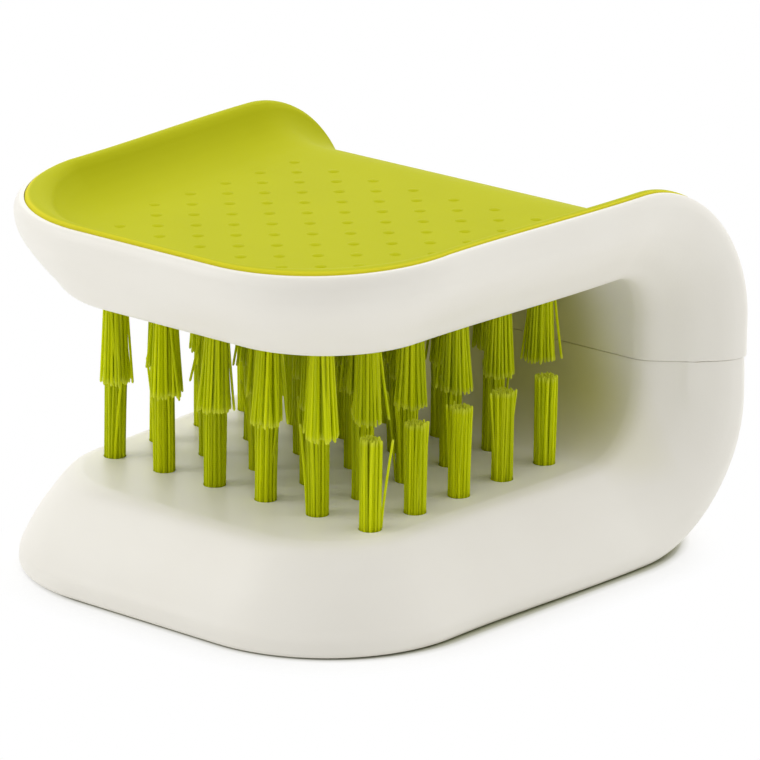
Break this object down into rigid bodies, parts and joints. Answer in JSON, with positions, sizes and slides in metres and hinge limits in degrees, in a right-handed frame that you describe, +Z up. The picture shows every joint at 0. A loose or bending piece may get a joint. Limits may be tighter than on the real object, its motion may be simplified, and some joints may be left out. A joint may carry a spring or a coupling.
{
  "type": "cutlery cleaning brush",
  "caption": "C-shaped hand brush that stands on a worktop: lime tufts on both arms of a white body face each other, with a soft trough-shaped grip on top.",
  "frame": {"origin": "middle of the brush's length and width, on the surface it stands on, under the soft base pad", "axes": "+Z up; +Y from the open mouth to the closed spine, along the length; +X across the width"},
  "size_m": [0.0838, 0.0904, 0.0578],
  "materials": {
    "shell_white": "warm white moulded plastic, fine satin surface",
    "inner_grey": "light grey moulded plastic, plain",
    "grip_lime": "soft lime thermoplastic elastomer, matt",
    "nylon_lime": "slightly translucent lime nylon filament, soft sheen"
  },
  "bodies": {
    "root": {"upper_shell": "shell_white", "lower_shell": "shell_white", "grip_pad": "grip_lime", "grip_tray": "inner_grey", "base_cover": "inner_grey", "base_pad": "grip_lime", "lower_tuft_row_1": "nylon_lime", "lower_tuft_row_2": "nylon_lime", "lower_tuft_row_3": "nylon_lime", "lower_tuft_row_4": "nylon_lime", "lower_tuft_row_5": "nylon_lime", "upper_tuft_row_1": "nylon_lime", "upper_tuft_row_2": "nylon_lime", "upper_tuft_row_3": "nylon_lime", "upper_tuft_row_4": "nylon_lime", "upper_tuft_row_5": "nylon_lime", "upper_tuft_row_6": "nylon_lime"}
  },
  "joints": []
}
